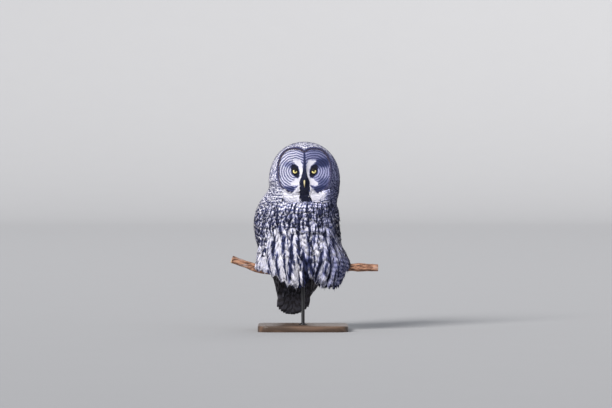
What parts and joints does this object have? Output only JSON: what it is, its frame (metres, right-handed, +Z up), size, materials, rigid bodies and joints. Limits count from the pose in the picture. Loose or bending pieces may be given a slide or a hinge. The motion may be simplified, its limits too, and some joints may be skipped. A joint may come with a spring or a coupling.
{
  "type": "great grey owl",
  "caption": "Life-size museum model of a great grey owl sitting upright on a cut branch, held up by a rod from a flat wooden base.",
  "frame": {"origin": "middle of the underside of the stand's base", "axes": "+Z up; the owl faces -Y, its left wing towards +X"},
  "size_m": [0.3939, 0.3392, 0.5009],
  "materials": {
    "plumage_pale": "soft pale grey feathers with dark bars and streaks",
    "plumage_slate": "dark slate feathers, barred and spotted with pale grey",
    "eye": "glossy yellow iris with a black pupil",
    "bill": "dull yellow horn",
    "claw": "dark horn with a soft shine",
    "bark": "thin rough reddish-brown bark",
    "stand_wood": "dark stained wood, satin",
    "stand_metal": "satin black paint"
  },
  "bodies": {
    "root": {"head": "plumage_pale", "neck": "plumage_pale", "torso": "plumage_pale", "belly_plumage": "plumage_pale", "flank_left": "plumage_pale", "flank_right": "plumage_pale", "wing_left": "plumage_slate", "wing_right": "plumage_slate", "back_plumage": "plumage_slate", "tail": "plumage_slate", "eye_left": "eye", "eye_right": "eye", "bill_upper": "bill", "bill_lower": "bill", "leg_left": "plumage_pale", "foot_left": "plumage_pale", "claw_left_front_inner": "claw", "claw_left_front_outer": "claw", "claw_left_rear_inner": "claw", "claw_left_rear_outer": "claw", "leg_right": "plumage_pale", "foot_right": "plumage_pale", "claw_right_front_inner": "claw", "claw_right_front_outer": "claw", "claw_right_rear_inner": "claw", "claw_right_rear_outer": "claw", "perch": "bark", "stand_base": "stand_wood", "stand_rod": "stand_metal"}
  },
  "joints": []
}
